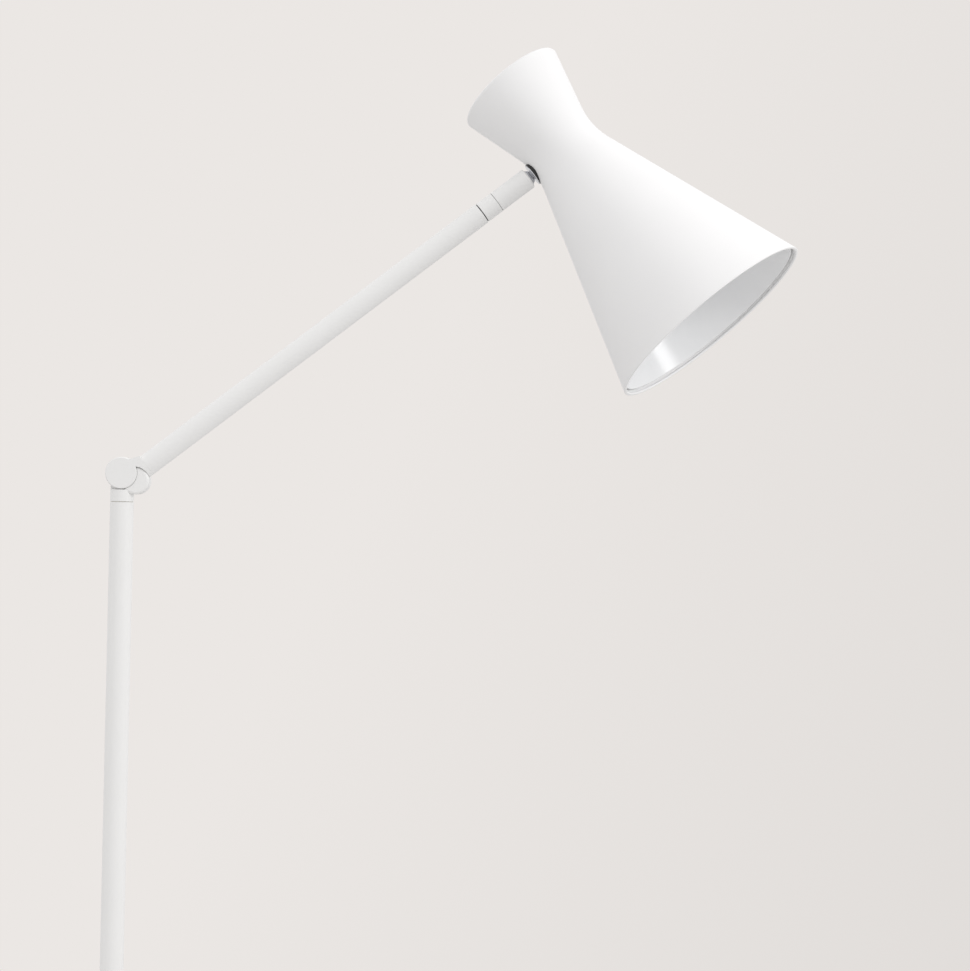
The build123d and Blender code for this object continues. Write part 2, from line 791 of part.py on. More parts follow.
# liner: a white cone inside the shade that stops short of the mouth
holder_bottom = holder_top + holder_length
baffle_place = holder_bottom - 7.0
liner_top = baffle_place
liner_bottom = mouth_drop - liner_short
liner_inset = (shade_wall + liner_gap) / cos(lower_angle)
liner_skin = liner_wall / cos(lower_angle)
liner_top_radius = corner_radius + lower_slope * liner_top - liner_inset
liner_mouth_radius = corner_radius + lower_slope * liner_bottom - liner_inset

with BuildPart() as shade_liner:
    with BuildSketch(section(shade_frame)):
        with BuildLine():
            Polyline(
                (liner_top_radius, liner_top),
                (liner_mouth_radius, liner_bottom),
                (liner_mouth_radius - liner_skin, liner_bottom),
                (liner_top_radius - liner_skin, liner_top),
                close=True,
            )
        make_face()
    revolve(axis=centre_line(shade_frame))
save(shade_liner.part, "shade_liner")

# plate that closes the shade round the lampholder, pressed up inside the liner
baffle_radius = liner_top_radius - liner_skin - 0.1
baffle_wall = 1.0

with BuildPart() as baffle_plate:
    with BuildSketch(shade_frame.offset(baffle_place)):
        Circle(baffle_radius)
        Circle(holder_radius + 0.3, mode=Mode.SUBTRACT)
    extrude(amount=baffle_wall)
save(baffle_plate.part, "baffle_plate")

# ================================================================ stem and its fixings
inner_washer_radius = 8.0
inner_waist = shade_radius(0) - shade_wall
inner_flat = waist_place - sqrt(inner_waist ** 2 - inner_washer_radius ** 2) + 0.8
bracket_face = inner_flat + bracket_thickness
stem_end = bracket_face + nut_thickness + 1.0
neck_start = sqrt(ball_radius ** 2 - stem_neck_radius ** 2)

# chromed ball, neck, trumpet flare and flange in one turned piece
with BuildPart() as ball_stem:
    with Locations(ball_centre):
        Sphere(ball_radius)
    with BuildSketch(section(stem_frame)):
        with BuildLine():
            flare = Bezier(
                (flange_radius, flange_start),
                (stem_neck_radius, flange_start),
                (stem_neck_radius, neck_start),
            )
            Polyline(
                flare @ 0,
                (flange_radius, flange_end),
                (stem_thread_radius, flange_end),
                (stem_thread_radius, stem_end),
                (0, stem_end),
                (0, neck_start - 1.0),
                (stem_neck_radius, neck_start - 1.0),
                flare @ 1,
            )
        make_face()
    revolve(axis=centre_line(stem_frame))
    with BuildSketch(stem_frame.offset(-ball_radius)):
        Circle(lead_bore_radius)
    extrude(amount=ball_radius + stem_end, mode=Mode.SUBTRACT)
save(ball_stem.part, "ball_stem")

# black saddle washer, flat on the flange and hollow to the waist
with BuildPart() as saddle_washer:
    with BuildSketch(stem_frame.offset(flange_end)):
        Circle(saddle_radius)
        Circle(stem_thread_radius + 0.1, mode=Mode.SUBTRACT)
    extrude(amount=saddle_web + swell - shade_radius(0) + 3.0)
    add(shade_outside.part, mode=Mode.SUBTRACT)
save(saddle_washer.part, "saddle_washer")

with BuildPart() as inner_washer:
    with BuildSketch(stem_frame.offset(inner_flat)):
        Circle(inner_washer_radius)
        Circle(stem_thread_radius + 0.1, mode=Mode.SUBTRACT)
    extrude(amount=-4.0)
    add(shade_inside.part, mode=Mode.INTERSECT)
save(inner_washer.part, "inner_washer")

with BuildPart() as stem_nut:
    with BuildSketch(stem_frame.offset(bracket_face)):
        RegularPolygon(radius=8.1, side_count=6)
        Circle(stem_thread_radius, mode=Mode.SUBTRACT)
    extrude(amount=nut_thickness)
save(stem_nut.part, "stem_nut")

# ================================================================ lampholder
# bent strap from the stem's nut to the top of the lampholder
bracket_reach = waist_place + 9.0
bracket_low = 8.5

with BuildPart() as holder_bracket:
    with BuildSketch(stem_frame.offset(inner_flat)):
        with Locations(((bracket_low + holder_top - bracket_thickness) / 2, 0)):
            Rectangle(bracket_low - holder_top + bracket_thickness, bracket_width)
        Circle(stem_thread_radius + 0.1, mode=Mode.SUBTRACT)
    extrude(amount=bracket_thickness)
    with BuildSketch(shade_frame.offset(holder_top - bracket_thickness)):
        with Locations(((bracket_reach + inner_flat) / 2 - waist_place, 0)):
            Rectangle(bracket_reach - inner_flat, bracket_width)
        Circle(nipple_radius + 0.1, mode=Mode.SUBTRACT)
    extrude(amount=bracket_thickness)
save(holder_bracket.part, "holder_bracket")

locknut_top = holder_top - bracket_thickness - nut_thickness
cap_height = 10.0

with BuildPart() as holder_nipple:
    with BuildSketch(shade_frame.offset(locknut_top - 1.0)):
        Circle(nipple_radius)
        Circle(nipple_bore_radius, mode=Mode.SUBTRACT)
    extrude(amount=holder_top + 6.0 - locknut_top + 1.0)
save(holder_nipple.part, "holder_nipple")

with BuildPart() as holder_locknut:
    with BuildSketch(shade_frame.offset(locknut_top)):
        RegularPolygon(radius=8.1, side_count=6)
        Circle(nipple_radius, mode=Mode.SUBTRACT)
    extrude(amount=nut_thickness)
save(holder_locknut.part, "holder_locknut")

with BuildPart() as holder_cap:
    with BuildSketch(section(shade_frame)):
        with BuildLine():
            Polyline(
                (nipple_radius, holder_top),
                (12.0, holder_top),
                (holder_radius, holder_top + 7.0),
                (holder_radius, holder_top + cap_height),
                (holder_radius - holder_wall, holder_top + cap_height),
                (holder_radius - holder_wall, holder_top + 8.0),
                (nipple_radius, holder_top + 6.0),
                close=True,
            )
        make_face()
    revolve(axis=centre_line(shade_frame))
save(holder_cap.part, "holder_cap")

core_top = holder_top + cap_height
core_thickness = 13.0
skirt_bore = holder_radius - holder_wall

# insulating core that carries the contacts
with BuildPart() as holder_core:
    with BuildSketch(shade_frame.offset(core_top)):
        Circle(skirt_bore - 0.2)
    extrude(amount=core_thickness)
    with BuildSketch(shade_frame.offset(core_top + core_thickness - 3.0)):
        Circle(socket_radius - 1.4)
    extrude(amount=3.0, mode=Mode.SUBTRACT)
    with BuildSketch(stem_frame.offset(waist_place - skirt_bore)):
        Circle(arm_lead_radius + 0.2)
    extrude(amount=5.0, mode=Mode.SUBTRACT)
save(holder_core.part, "holder_core")

with BuildPart() as holder_skirt:
    with BuildSketch(shade_frame.offset(core_top)):
        Circle(holder_radius)
        Circle(skirt_bore, mode=Mode.SUBTRACT)
    extrude(amount=holder_bottom - core_top)
    with BuildSketch(stem_frame.offset(waist_place - holder_radius - 1.0)):
        Circle(arm_lead_radius + 0.2)
    extrude(amount=4.0, mode=Mode.SUBTRACT)
save(holder_skirt.part, "holder_skirt")

# threaded brass shell for the lamp's cap
socket_top = core_top + core_thickness

with BuildPart() as holder_thread:
    with BuildSketch(shade_frame.offset(socket_top)):
        Circle(socket_radius + socket_wall)
        Circle(socket_radius, mode=Mode.SUBTRACT)
    extrude(amount=socket_length - 1.5)
    with BuildSketch(shade_frame.offset(socket_top)):
        Circle(skirt_bore)
        Circle(socket_radius, mode=Mode.SUBTRACT)
    extrude(amount=1.2)
save(holder_thread.part, "holder_thread")

with BuildPart() as holder_contact:
    with BuildSketch(shade_frame.offset(socket_top - 3.0)):
        Rectangle(16.0, 5.0)
    extrude(amount=0.5)
    with BuildSketch(shade_frame.offset(socket_top - 2.5)):
        Circle(3.2)
    extrude(amount=2.0)
    fillet(holder_contact.faces().sort_by(centre_line(shade_frame))[-1].edges(), radius=0.8)
save(holder_contact.part, "holder_contact")

# ring screwed on the skirt to clamp the liner's flange
with BuildPart() as holder_ring:
    with BuildSketch(shade_frame.offset(baffle_place + baffle_wall)):
        Circle(holder_radius + 4.0)
        Circle(holder_radius, mode=Mode.SUBTRACT)
    extrude(amount=4.5)
    fillet(holder_ring.faces().sort_by(centre_line(shade_frame))[-1].outer_wire().edges(), radius=1.2)
save(holder_ring.part, "holder_ring")

with BuildPart() as holder_collar:
    with BuildSketch(shade_frame.offset(baffle_place)):
        Circle(holder_radius + 3.0)
        Circle(holder_radius, mode=Mode.SUBTRACT)
    extrude(amount=-1.6)
save(holder_collar.part, "holder_collar")

with BuildPart() as head_lead:
    with BuildSketch(stem_frame.offset(-ball_radius + 1.0)):
        Circle(arm_lead_radius)
    extrude(amount=waist_place - skirt_bore + 4.0 + ball_radius - 1.0)
save(head_lead.part, "head_lead")

print("pivot", pivot_height)
print("arm foot", arm_foot)
print("arm direction", arm_direction)
print("ball centre", ball_centre)
print("stem axis", stem_axis)
print("shade axis", shade_axis)
print("tilt axis", arm_direction.cross(square_to_arm))
print("waist centre", waist_centre)
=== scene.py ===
# %% [markdown]
# # Adjustable arm floor lamp
# This lesson dresses a finished engineering model of a reading lamp. The model comes in
# as a fixed frame with its joints, and stays where it is. Our work is the finishes, the
# pieces that are easier to shape as meshes, the light and the camera.

# %% Open the frame
import json
import math

import bmesh
import bpy
from mathutils import Matrix, Vector


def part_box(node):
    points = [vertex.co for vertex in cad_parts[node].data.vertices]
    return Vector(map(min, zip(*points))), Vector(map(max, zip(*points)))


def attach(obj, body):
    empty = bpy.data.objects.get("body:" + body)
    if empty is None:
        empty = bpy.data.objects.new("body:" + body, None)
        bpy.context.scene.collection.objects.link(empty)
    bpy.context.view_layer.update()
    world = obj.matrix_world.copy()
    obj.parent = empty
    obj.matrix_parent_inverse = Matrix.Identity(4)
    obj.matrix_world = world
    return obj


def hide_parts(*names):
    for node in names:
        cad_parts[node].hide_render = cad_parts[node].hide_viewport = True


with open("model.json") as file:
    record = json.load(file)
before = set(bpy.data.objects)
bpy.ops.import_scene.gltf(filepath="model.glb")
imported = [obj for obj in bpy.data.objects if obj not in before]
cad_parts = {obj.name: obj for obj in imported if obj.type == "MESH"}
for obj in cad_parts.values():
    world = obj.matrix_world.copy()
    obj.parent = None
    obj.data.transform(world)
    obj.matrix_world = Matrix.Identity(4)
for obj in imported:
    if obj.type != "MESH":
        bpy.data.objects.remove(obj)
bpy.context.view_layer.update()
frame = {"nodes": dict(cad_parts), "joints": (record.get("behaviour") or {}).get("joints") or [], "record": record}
MM = 0.001

# %% [markdown]
# The shade's places in this lesson are read from the frame. The tilt joint says where the
# ball is, and the lamp socket's mount says where the shade's axis runs. The waist is the
# point of that axis nearest the ball, and a local frame there carries all the shade's
# round pieces.

# %% Find the shade
joints = {j["name"]: j for j in frame["joints"]}
mounts = {m["name"]: m for m in frame["record"]["mounts"]}
ball = Vector(joints["head_tilt"]["pos_m"])
along_shade = Vector(mounts["lamp_socket"]["axis"]).normalized()
on_shade = Vector(mounts["lamp_socket"]["pos_m"])
waist = on_shade + along_shade * (ball - on_shade).dot(along_shade)
along_stem = (waist - ball).normalized()


def local_frame(origin, z_axis, x_axis):
    """A matrix whose local Z runs along a piece's axis, with X turned towards x_axis."""
    z = z_axis.normalized()
    x = (x_axis - z * x_axis.dot(z)).normalized()
    y = z.cross(x)
    turn = Matrix((x, y, z)).transposed()
    return Matrix.Translation(origin) @ turn.to_4x4()


shade_frame = local_frame(waist, along_shade, along_stem)
print("waist centre, mm:", [round(v / MM, 1) for v in waist])
print("ball to shade axis, mm:", round((waist - ball).length / MM, 2))

# %% [markdown]
# Colours are written as the sRGB hex values that a paint chart gives. The renderer works
# in linear light, so one function turns them over.

# %% Colour and node helpers


def linear(hex_colour):
    """Turn an sRGB hex colour into the linear RGBA that a shader socket takes."""
    parts = [int(hex_colour[i:i + 2], 16) / 255 for i in (1, 3, 5)]
    light = [c / 12.92 if c <= 0.04045 else ((c + 0.055) / 1.055) ** 2.4 for c in parts]
    return (*light, 1.0)


def add_node(tree, kind, settings=None, inputs=None):
    """Add one node, set its options, and set or link its inputs."""
    made = tree.nodes.new(kind)
    for name, value in (settings or {}).items():
        setattr(made, name, value)
    for name, value in (inputs or {}).items():
        socket = made.inputs[name]
        if isinstance(value, bpy.types.NodeSocket):
            tree.links.new(value, socket)
        else:
            socket.default_value = value
    return made


def new_material(name):
    """A new material with its node tree, its shader and its object coordinates."""
    made = bpy.data.materials.new(name)
    made.use_nodes = True
    tree = made.node_tree
    shader = tree.nodes["Principled BSDF"]
    place = tree.nodes.new("ShaderNodeTexCoord").outputs["Object"]
    return made, tree, shader, place


def set_shader(shader, **values):
    """Set plain numbers and colours on the shader's own sockets."""
    for name, value in values.items():
        shader.inputs[name.replace("_", " ")].default_value = value


# %% [markdown]
# **Powder coat** covers the pole, the elbow, the arm and the shade. It is sprayed dry and
# baked, so it flows into a satin skin with a very fine orange peel, and it rounds every
# edge a little. Real peel is about 1 mm from crest to crest, and is drawn at 2.4 mm here so
# that it doesn't flicker at this distance. A second, wider noise moves the gloss by a few
# percent, so that a long tube isn't dead even. The rounded edge is a bevel of 0.35 mm in
# the shading.

# %% Powder coat


def powder_coat(name, colour, roughness, peel_mm=2.4, peel_height_mm=0.006, edge_mm=0.35):
    """Satin white powder coat with orange peel and softened edges."""
    made, tree, shader, place = new_material(name)
    set_shader(shader, Roughness=roughness, IOR=1.5)
    haze = add_node(tree, "ShaderNodeTexNoise", None,
                    {"Vector": place, "Scale": 1 / (45 * MM), "Detail": 3.0})
    tone = add_node(tree, "ShaderNodeMix", {"data_type": "RGBA"}, {
        "Factor": haze.outputs["Fac"],
        "A": linear(colour[0]),
        "B": linear(colour[1]),
    })
    gloss = add_node(tree, "ShaderNodeMapRange", None, {
        "Value": haze.outputs["Fac"],
        "From Min": 0.3,
        "From Max": 0.7,
        "To Min": roughness - 0.03,
        "To Max": roughness + 0.03,
    })
    soft_edge = add_node(tree, "ShaderNodeBevel", {"samples": 8}, {"Radius": edge_mm * MM})
    peel = add_node(tree, "ShaderNodeTexNoise", None,
                    {"Vector": place, "Scale": 1 / (peel_mm * MM), "Detail": 1.5})
    bump = add_node(tree, "ShaderNodeBump", None, {
        "Strength": 0.5,
        "Distance": peel_height_mm * MM,
        "Height": peel.outputs["Fac"],
        "Normal": soft_edge.outputs["Normal"],
    })
    tree.links.new(tone.outputs["Result"], shader.inputs["Base Color"])
    tree.links.new(gloss.outputs["Result"], shader.inputs["Roughness"])
    tree.links.new(bump.outputs["Normal"], shader.inputs["Normal"])
    return made


paint = powder_coat("white_powder_coat", ("#F1F1F0", "#EEEEED"), 0.42)
shade_paint = powder_coat("white_shade_enamel", ("#F5F5F5", "#F2F2F2"), 0.46)
liner_paint = powder_coat("white_reflector_enamel", ("#F3F4F5", "#F0F1F2"), 0.22, 3.0, 0.006)

# %% [markdown]
# ** Metals** keep the renderer's default IOR. A metal's look comes from its colour, its
# roughness and the marks that its making left. One function covers them, and every metal
# here gets a round grain. The function can also stretch that grain into fine lines along
# one axis, but none of the metals here is given a stretch.

# %% Metals


def metal(name, colour, roughness, grain_mm, grain_height_mm, stretch=(1, 1, 1), edge_mm=0.15):
    """A bare or plated metal whose grain is a noise, stretched where a tool drew it out."""
    made, tree, shader, place = new_material(name)
    set_shader(shader, Metallic=1.0, Roughness=roughness)
    placed = add_node(tree, "ShaderNodeMapping", None, {"Vector": place, "Scale": stretch})
    grain = add_node(tree, "ShaderNodeTexNoise", None, {
        "Vector": placed.outputs["Vector"],
        "Scale": 1 / (grain_mm * MM),
        "Detail": 4.0,
    })
    tone = add_node(tree, "ShaderNodeMix", {"data_type": "RGBA"}, {
        "Factor": grain.outputs["Fac"],
        "A": linear(colour[0]),
        "B": linear(colour[1]),
    })
    gloss = add_node(tree, "ShaderNodeMapRange", None, {
        "Value": grain.outputs["Fac"],
        "To Min": roughness * 0.7,
        "To Max": roughness * 1.3,
    })
    soft_edge = add_node(tree, "ShaderNodeBevel", {"samples": 4}, {"Radius": edge_mm * MM})
    bump = add_node(tree, "ShaderNodeBump", None, {
        "Strength": 0.4,
        "Distance": grain_height_mm * MM,
        "Height": grain.outputs["Fac"],
        "Normal": soft_edge.outputs["Normal"],
    })
    tree.links.new(tone.outputs["Result"], shader.inputs["Base Color"])
    tree.links.new(gloss.outputs["Result"], shader.inputs["Roughness"])
    tree.links.new(bump.outputs["Normal"], shader.inputs["Normal"])
    return made


chrome = metal("polished_chrome", ("#D4D5D8", "#CCCDD0"), 0.06, 3.0, 0.002)
zinc = metal("zinc_plated_steel", ("#B9BABB", "#A5A6A8"), 0.34, 1.5, 0.01)
brass = metal("rolled_brass", ("#CFAE62", "#BE9A4E"), 0.27, 1.2, 0.006)
iron = metal("cast_iron", ("#2F2F31", "#3A3A3C"), 0.62, 1.8, 0.12)
turned_aluminium = metal("turned_aluminium", ("#C9CACB", "#BEBFC0"), 0.3, 0.5, 0.006)

# %% [markdown]
# **Plastics, nylon, rubber and ceramic** don't conduct, so their colour is in the body and
# their shine is a thin clear reflection. Moulded parts carry a faint spark-eroded grain.

# %% Mouldings


def moulding(name, colour, roughness, grain_mm=0.5, grain_height_mm=0.01, ior=1.5, glow=0.0):
    """Moulded plastic, rubber or glazed ceramic with a fine surface grain."""
    made, tree, shader, place = new_material(name)
    set_shader(shader, Roughness=roughness, IOR=ior)
    shader.inputs["Subsurface Weight"].default_value = glow
    shader.inputs["Subsurface Scale"].default_value = 1.0 * MM
    grain = add_node(tree, "ShaderNodeTexNoise", None,
                     {"Vector": place, "Scale": 1 / (grain_mm * MM), "Detail": 2.0})
    tone = add_node(tree, "ShaderNodeMix", {"data_type": "RGBA"}, {
        "Factor": grain.outputs["Fac"],
        "A": linear(colour[0]),
        "B": linear(colour[1]),
    })
    soft_edge = add_node(tree, "ShaderNodeBevel", {"samples": 4}, {"Radius": 0.2 * MM})
    bump = add_node(tree, "ShaderNodeBump", None, {
        "Strength": 0.4,
        "Distance": grain_height_mm * MM,
        "Height": grain.outputs["Fac"],
        "Normal": soft_edge.outputs["Normal"],
    })
    tree.links.new(tone.outputs["Result"], shader.inputs["Base Color"])
    tree.links.new(bump.outputs["Normal"], shader.inputs["Normal"])
    return made


black_nylon = moulding("black_nylon", ("#111112", "#1A1A1B"), 0.45)
natural_nylon = moulding("natural_nylon", ("#DAD6C8", "#D2CDBD"), 0.5)
white_thermoset = moulding("white_thermoset", ("#ECEBE7", "#E7E6E1"), 0.3)
steatite = moulding("glazed_steatite", ("#EBE8DF", "#E4E0D6"), 0.2)
pvc_sheath = moulding("white_pvc_sheath", ("#E4E3DF", "#DDDCD8"), 0.4)
pad_rubber = moulding("black_foam_rubber", ("#161616", "#202020"), 0.85, 0.8, 0.15)

# %% [markdown]
# The record names a material slot for every piece, so the finishes go on in one loop.
# Each piece keeps its own mesh: only the material in its slot is exchanged.

# %% Put the finishes on the frame's pieces
finishes = {
    "white_paint": paint,
    "white_shade": shade_paint,
    "white_liner": liner_paint,
    "cast_iron": iron,
    "pad": pad_rubber,
    "zinc_steel": zinc,
    "chrome": chrome,
    "black_plastic": black_nylon,
    "white_plastic": white_thermoset,
    "nylon": natural_nylon,
    "aluminium": turned_aluminium,
    "brass": brass,
    "ceramic": steatite,
    "cord": pvc_sheath,
}
slots = {p["node"]: p["material_slot"] for p in frame["record"]["subparts"]}
for name, piece in frame["nodes"].items():
    piece.data.materials.clear()
    piece.data.materials.append(finishes[slots[name]])
print("finished pieces:", len(slots))

# %% [markdown]
# ## Turned pieces
# The shade, its reflector, the lampholder and the cord bush are all round about one axis.
# On the real lamp they are spun, turned or moulded. A lathe suits them here too: we draw
# half of the section as corners with a rounding radius each, and sweep it round. A screw
# modifier would sweep it as well, but a function of our own can also add ribs or a thread
# while it turns. Sharp edges stay sharp where the faces meet at more than 35 degrees.

# %% Lathe helpers


def rounded(corners):
    """Section points from corners (radius, height, rounding), each rounded by an arc."""
    points = []
    for i, (r, z, rounding) in enumerate(corners):
        corner = Vector((r, z))
        if not rounding:
            points.append(corner)
            continue
        back = (Vector(corners[i - 1][:2]) - corner).normalized()
        ahead = (Vector(corners[(i + 1) % len(corners)][:2]) - corner).normalized()
        half = back.angle(ahead) / 2
        centre = corner + (back + ahead).normalized() * rounding / math.sin(half)
        start = corner + back * rounding / math.tan(half) - centre
        end = corner + ahead * rounding / math.tan(half) - centre
        turn = math.copysign(math.pi - 2 * half, start.x * end.y - start.y * end.x)
        steps = max(4, round(rounding * abs(turn) / 1.2))
        for step in range(steps + 1):
            points.append(centre + Matrix.Rotation(turn * step / steps, 2) @ start)
    return points


def turned(name, points, place, segments=160, wave=None, closed=True):
    """Sweep a section round the local Z of place, in mm, with an optional wave of radius."""
    shape = bmesh.new()
    rings = []
    for k in range(segments):
        angle = math.tau * k / segments
        ring = []
        for r, z in points:
            reach = r + (wave(angle, r, z) if wave else 0)
            spot = Vector((reach * math.cos(angle), reach * math.sin(angle), z))
            ring.append(shape.verts.new(place @ (spot * MM)))
        rings.append(ring)
    last = len(points) if closed else len(points) - 1
    for k in range(segments):
        here, there = rings[k], rings[(k + 1) % segments]
        for i in range(last):
            j = (i + 1) % len(points)
            shape.faces.new((here[i], there[i], there[j], here[j]))
    bmesh.ops.remove_doubles(shape, verts=shape.verts, dist=1e-6)
    bmesh.ops.recalc_face_normals(shape, faces=shape.faces)
    for face in shape.faces:
        face.smooth = True
    mesh = bpy.data.meshes.new(name)
    shape.to_mesh(mesh)
    shape.free()
    mesh.set_sharp_from_angle(angle=math.radians(35))
    return mesh


def fit_piece(mesh, finish, slot, body, *stands_for):
    """Put a mesh on the lamp: its finish, the body it rides on, the nodes it replaces."""
    mesh.materials.append(finish)
    piece = bpy.data.objects.new(mesh.name, mesh)
    bpy.context.scene.collection.objects.link(piece)
    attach(piece, body)
    if stands_for:
        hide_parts(*stands_for)
    print(mesh.name, "faces:", len(mesh.polygons))
    return piece


# %% [markdown]
# **The shade** is one aluminium disc, spun over a former into an hourglass with a flat
# crown. Two straight cones meet in a 64 mm blend at the waist. Spinning leaves a soft
# radius at the crown. The wall is 1.2 mm, and at the mouth it is turned in to a bead, which
# stiffens the edge and feels smooth to the hand.

# %% Shade
crown_rise, mouth_drop = 69.8, 188.0
crown_radius, corner_radius, mouth_radius = 46.9, 28.5, 89.2
waist_blend, crown_edge, wall = 64.0, 2.2, 1.2
bead_height, bead_depth = 2.0, 1.2
lower_slope = (mouth_radius - corner_radius) / mouth_drop
upper_slope = (crown_radius - corner_radius) / crown_rise
lower_wall = wall * math.hypot(1, lower_slope)
upper_wall = wall * math.hypot(1, upper_slope)
inner_corner = (lower_wall - upper_wall) / (lower_slope + upper_slope)
bead_top = mouth_radius - lower_wall - lower_slope * bead_height
shade_section = rounded([
    (0, -crown_rise, 0),
    (crown_radius, -crown_rise, crown_edge),
    (corner_radius, 0, waist_blend),
    (mouth_radius, mouth_drop, 0.6),
    (mouth_radius - lower_wall - bead_depth, mouth_drop, 0.8),
    (bead_top - bead_depth, mouth_drop - bead_height, 0.8),
    (bead_top, mouth_drop - bead_height, 0.1),
    (corner_radius + lower_slope * inner_corner - lower_wall, inner_corner, waist_blend + wall),
    (crown_radius - upper_slope * wall - upper_wall, wall - crown_rise, crown_edge - wall),
    (0, wall - crown_rise, 0),
])
fit_piece(turned("spun_shade", shade_section, shade_frame, 192, closed=False),
          shade_paint, "white_shade", "shade", "shade_shell")
print("shade width and length, mm:", 2 * mouth_radius, crown_rise + mouth_drop)

# %% [markdown]
# **The reflector** is a second cone inside the first. It stops 1.5 mm short of the bead,
# and the slot between them is in shadow, so it draws a dark line round the mouth. Its end
# is turned outwards in a small roll, so that no raw edge shows.
# A plate with two pressed ridges closes it round the lampholder.

# %% Reflector and its plate
holder_radius, plate_top = 19.5, 21.0
liner_end, liner_wall, liner_gap = 184.5, 0.8, 2.0
stretch = math.hypot(1, lower_slope)


def cone_radius(height, inset):
    """Radius of the shade's lower cone at a height, moved in square to its wall."""
    return corner_radius + lower_slope * height - inset * stretch


outer_skin, inner_skin = wall + liner_gap, wall + liner_gap + liner_wall
roll, roll_top = 1.0, liner_end - 1.9
liner_section = rounded([
    (cone_radius(plate_top, outer_skin), plate_top, 0),
    (cone_radius(roll_top, outer_skin), roll_top, 0.2),
    (cone_radius(roll_top, outer_skin - roll), roll_top, 0.5),
    (cone_radius(liner_end, outer_skin - roll), liner_end, 0.8),
    (cone_radius(liner_end, inner_skin), liner_end, 0.8),
    (cone_radius(plate_top, inner_skin), plate_top, 0),
])
fit_piece(turned("reflector_cone", liner_section, shade_frame, 192),
          liner_paint, "white_liner", "shade", "shade_liner")

plate_edge = cone_radius(plate_top, inner_skin) - 0.1
bore = holder_radius + 0.3
plate_section = rounded([
    (bore, plate_top, 0),
    (plate_edge, plate_top, 0),
    (plate_edge, plate_top + 1.0, 0.2),
    (plate_edge - 1.2, plate_top + 1.0, 0.2),
    (plate_edge - 1.6, plate_top + 0.6, 0.2),
    (bore + 4.8, plate_top + 0.6, 0.2),
    (bore + 4.4, plate_top + 1.0, 0.2),
    (bore, plate_top + 1.0, 0),
])
fit_piece(turned("reflector_plate", plate_section, shade_frame),
          liner_paint, "white_liner", "shade", "baffle_plate")

# %% [markdown]
# **The lampholder** is moulded in white thermoset round a brass shell. The shell is rolled
# sheet, so its E27 thread shows as a rounded wave, with a pitch of 3.62 mm. The section
# runs in fine steps along the axis, and the wave is shifted by one pitch per turn.

# %% Lampholder
thread_pitch, thread_depth = 3.62, 0.42
shell_bore, shell_wall = 13.4, 0.3
socket_heights = [(shade_frame.inverted() @ v.co).z / MM
                  for v in frame["nodes"]["holder_thread"].data.vertices]
thread_start, thread_end = min(socket_heights), max(socket_heights)
print("socket shell runs, mm:", round(thread_start, 2), round(thread_end, 2))


def rolled_thread(angle, r, z):
    """The wave of the rolled thread, faded out over the shell's first and last 2 mm."""
    fade = min(1, (z - thread_start) / 2, (thread_end - z) / 2)
    turns = z / thread_pitch - angle / math.tau
    return thread_depth * max(0, fade) * (1 + math.cos(math.tau * turns)) / 2


steps = 96
heights = [thread_start + (thread_end - thread_start) * i / steps for i in range(steps + 1)]
shell_section = [(shell_bore, z) for z in heights]
shell_section += [(shell_bore + shell_wall, z) for z in reversed(heights)]
fit_piece(turned("threaded_shell", shell_section, shade_frame, 96, rolled_thread),
          brass, "brass", "shade", "holder_thread")

# %% [markdown]
# The skirt is a tube with a rounded mouth. A ring screws on it and holds the plate up, and
# has 40 grip ribs, 0.5 mm deep, moulded round its outside so that fingers can turn it.

# %% Skirt and ring
holder_top, holder_end = -10.0, 28.0
skirt_section = rounded([
    (holder_radius, holder_top, 0),
    (holder_radius, holder_end, 0.6),
    (holder_radius - 1.8, holder_end, 0.5),
    (holder_radius - 1.8, holder_top, 0),
])
fit_piece(turned("holder_skirt_moulding", skirt_section, shade_frame),
          white_thermoset, "white_plastic", "shade", "holder_skirt")


def grip_ribs(angle, r, z):
    """Rounded ribs on the ring's outside only."""
    return -0.5 * (0.5 - 0.5 * math.cos(40 * angle)) if r > holder_radius + 2.5 else 0


ring_top = plate_top + 1.0
ring_section = rounded([
    (holder_radius, ring_top, 0),
    (holder_radius + 4.0, ring_top, 0),
    (holder_radius + 4.0, ring_top + 4.5, 1.2),
    (holder_radius, ring_top + 4.5, 0.4),
])
fit_piece(turned("ribbed_ring", ring_section, shade_frame, 320, grip_ribs),
          white_thermoset, "white_plastic", "shade", "holder_ring")

# %% [markdown]
# **The cord bush** grips the lead where it enters the pole. It is moulded in soft plastic
# with a flange and three flexing grooves, which let the lead bend without a kink.

# %% Cord bush
bush_low, bush_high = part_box("cord_bush")
bush_height = (bush_low.z + bush_high.z) / 2
bush_frame = local_frame(Vector((0, 0, bush_height)), Vector((-1, 0, 0)), Vector((0, 0, 1)))
bush_end, flange_end = -bush_low.x / MM, 11.5
bush_section = rounded([
    (2.4, 7.0, 0), (6.5, 7.0, 0), (6.5, flange_end, 0.8), (4.2, flange_end, 0.3),
    (4.2, 12.5, 0.2), (3.6, 12.7, 0.2), (3.6, 13.2, 0.2), (4.1, 13.4, 0.2),
    (4.1, 14.0, 0.2), (3.5, 14.2, 0.2), (3.5, 14.7, 0.2), (4.0, 14.9, 0.2),
    (4.0, bush_end, 0.4), (2.4, bush_end, 0.2),
])
fit_piece(turned("grooved_bush", bush_section, bush_frame, 72),
          white_thermoset, "white_plastic", "stand", "cord_bush")

# %% [markdown]
# ## Camera, floor and light
# The camera stands level with the top of the pole, about 1.9 m from it, with a long lens,
# so the lamp's head and elbow fill the frame and its tubes hardly converge. It is tilted up
# by half a degree and rolled by about one, as a tripod set by hand is.

